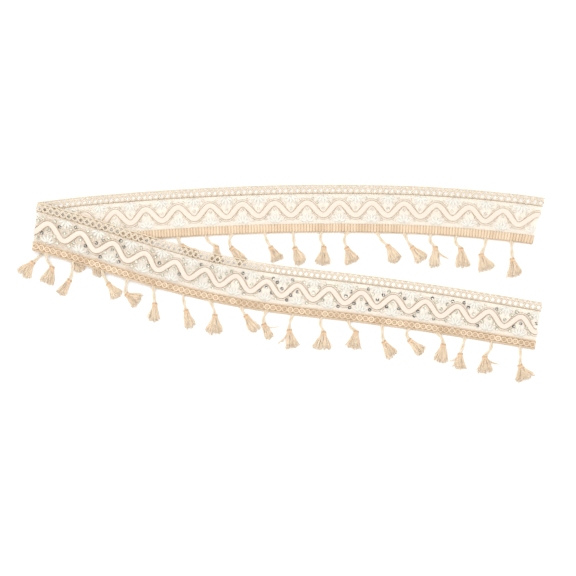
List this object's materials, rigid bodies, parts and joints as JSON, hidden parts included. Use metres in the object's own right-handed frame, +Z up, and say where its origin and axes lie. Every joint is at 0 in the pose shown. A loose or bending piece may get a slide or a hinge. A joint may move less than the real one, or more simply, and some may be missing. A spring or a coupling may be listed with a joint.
{
  "type": "tassel fringe trim",
  "caption": "Lace ribbon trim with an eyelet header, a wavy tape pattern and a gimp braid from which short cord tassels hang, folded once and laid flat.",
  "frame": {"origin": "middle of the laid trim's box, on the surface it lies on", "axes": "+X along the legs towards the two cut ends, +Y towards the back leg's header edge, +Z up"},
  "size_m": [0.4823, 0.1807, 0.0063],
  "materials": {
    "lace": "sheer cream cotton lace",
    "braid": "beige gimp braid",
    "tassel": "beige twisted cotton yarn"
  },
  "bodies": {
    "root": {"lace_ribbon": "lace", "gimp_braid": "braid", "tassel_01": "tassel", "tassel_02": "tassel", "tassel_03": "tassel", "tassel_04": "tassel", "tassel_05": "tassel", "tassel_06": "tassel", "tassel_07": "tassel", "tassel_08": "tassel", "tassel_09": "tassel", "tassel_10": "tassel", "tassel_11": "tassel", "tassel_12": "tassel", "tassel_13": "tassel", "tassel_14": "tassel", "tassel_15": "tassel", "tassel_16": "tassel", "tassel_17": "tassel", "tassel_18": "tassel", "tassel_19": "tassel", "tassel_20": "tassel", "tassel_21": "tassel", "tassel_22": "tassel", "tassel_23": "tassel", "tassel_24": "tassel", "tassel_25": "tassel", "tassel_26": "tassel", "tassel_27": "tassel", "tassel_28": "tassel", "tassel_29": "tassel", "tassel_30": "tassel", "tassel_31": "tassel", "tassel_32": "tassel", "tassel_33": "tassel", "tassel_34": "tassel", "tassel_35": "tassel", "tassel_36": "tassel"}
  },
  "joints": []
}
